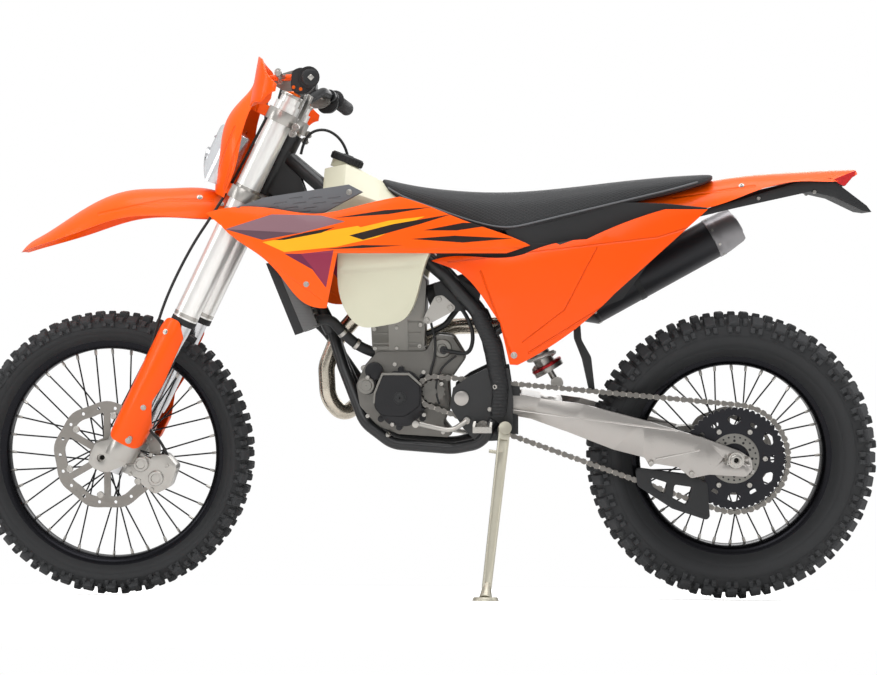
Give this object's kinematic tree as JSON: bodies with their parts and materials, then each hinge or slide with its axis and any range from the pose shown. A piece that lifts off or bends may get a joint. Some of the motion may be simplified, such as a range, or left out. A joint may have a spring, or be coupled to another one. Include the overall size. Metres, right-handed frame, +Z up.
{
  "type": "enduro motorcycle",
  "caption": "single-cylinder enduro dirt bike leaning on its side stand, knobbly tyres on wire wheels, high front fender, headlight mask, hand guards and a flat black seat",
  "frame": {"origin": "on the ground, under the centre of the bounding box", "axes": "+X towards the tail, -Y the rider's left where the side stand is, +Z up; the bike leans 9.5 degrees to its left"},
  "size_m": [2.1824, 0.8338, 1.3085],
  "materials": {
    "alloy": "brushed",
    "black_metal": "satin",
    "black_plastic": "matte",
    "cast": "cast and bead blasted",
    "chrome": "polished",
    "cream": "translucent gloss",
    "frame_black": "satin powder coat",
    "lens": "clear",
    "orange": "gloss",
    "red_lens": "clear red",
    "rim_black": "gloss black",
    "rubber": "matte",
    "seat": "embossed cover",
    "steel": "brushed",
    "tyre": "matte"
  },
  "bodies": {
    "chassis": {"frame": "frame_black", "subframe": "frame_black", "crankcase": "cast", "cylinder": "cast", "engine_covers": "black_metal", "engine_hangers": "alloy", "intake": "rubber", "header_pipe": "steel", "silencer": "black_metal", "fuel_tank": "cream", "fuel_cap": "black_plastic", "shrouds": "orange", "grip_pads": "rubber", "radiators": "alloy", "radiator_guards": "black_plastic", "seat": "seat", "side_panels": "orange", "airbox": "black_plastic", "rear_fender": "orange", "tail_light": "red_lens", "plate_holder": "black_plastic", "mud_flap": "rubber", "swingarm": "alloy", "rear_shock": "alloy", "shock_spring": "steel", "rear_axle": "steel", "rear_caliper": "cast", "chain": "steel", "chain_guide": "black_plastic", "chain_slider": "black_plastic", "frame_guards": "black_plastic", "vent_hose": "rubber", "footpegs": "steel", "foot_controls": "alloy"},
    "steering": {"triple_clamps": "alloy", "fork_tubes": "alloy", "instrument": "black_plastic", "fork_sliders": "chrome", "fork_lugs": "alloy", "front_axle": "steel", "fork_guards": "orange", "handlebar": "alloy", "grips": "rubber", "levers": "alloy", "hand_guards": "orange", "headlight_lens": "lens", "headlight_mask": "orange", "front_fender": "orange", "front_caliper": "cast", "front_hoses": "rubber"},
    "front_wheel": {"front_tyre": "tyre", "front_rim": "rim_black", "front_spokes": "alloy", "front_disc": "steel"},
    "rear_wheel": {"rear_tyre": "tyre", "rear_rim": "rim_black", "rear_spokes": "alloy", "rear_disc": "steel", "rear_sprocket": "black_metal"},
    "side_stand": {"side_stand": "alloy"}
  },
  "joints": [
    {"name": "steering_turn", "type": "hinge", "parent": "chassis", "child": "steering", "pos_m": [-0.37757, 0.03921, 0.96206], "axis": [0.4399, -0.1482, 0.8857], "range_deg": [-40, 40]},
    {"name": "front_wheel_spin", "type": "hinge", "parent": "steering", "child": "front_wheel", "pos_m": [-0.7445, 0.14259, 0.34431], "axis": [0, 0.9863, 0.165], "continuous": true},
    {"name": "rear_wheel_spin", "type": "hinge", "parent": "chassis", "child": "rear_wheel", "pos_m": [0.7445, 0.14237, 0.3456], "axis": [0, 0.9863, 0.165], "continuous": true},
    {"name": "side_stand_fold", "type": "hinge", "parent": "chassis", "child": "side_stand", "pos_m": [0.20697, -0.04573, 0.39118], "axis": [0.1047, -0.9928, 0.0581], "range_deg": [0, 145.4]}
  ]
}
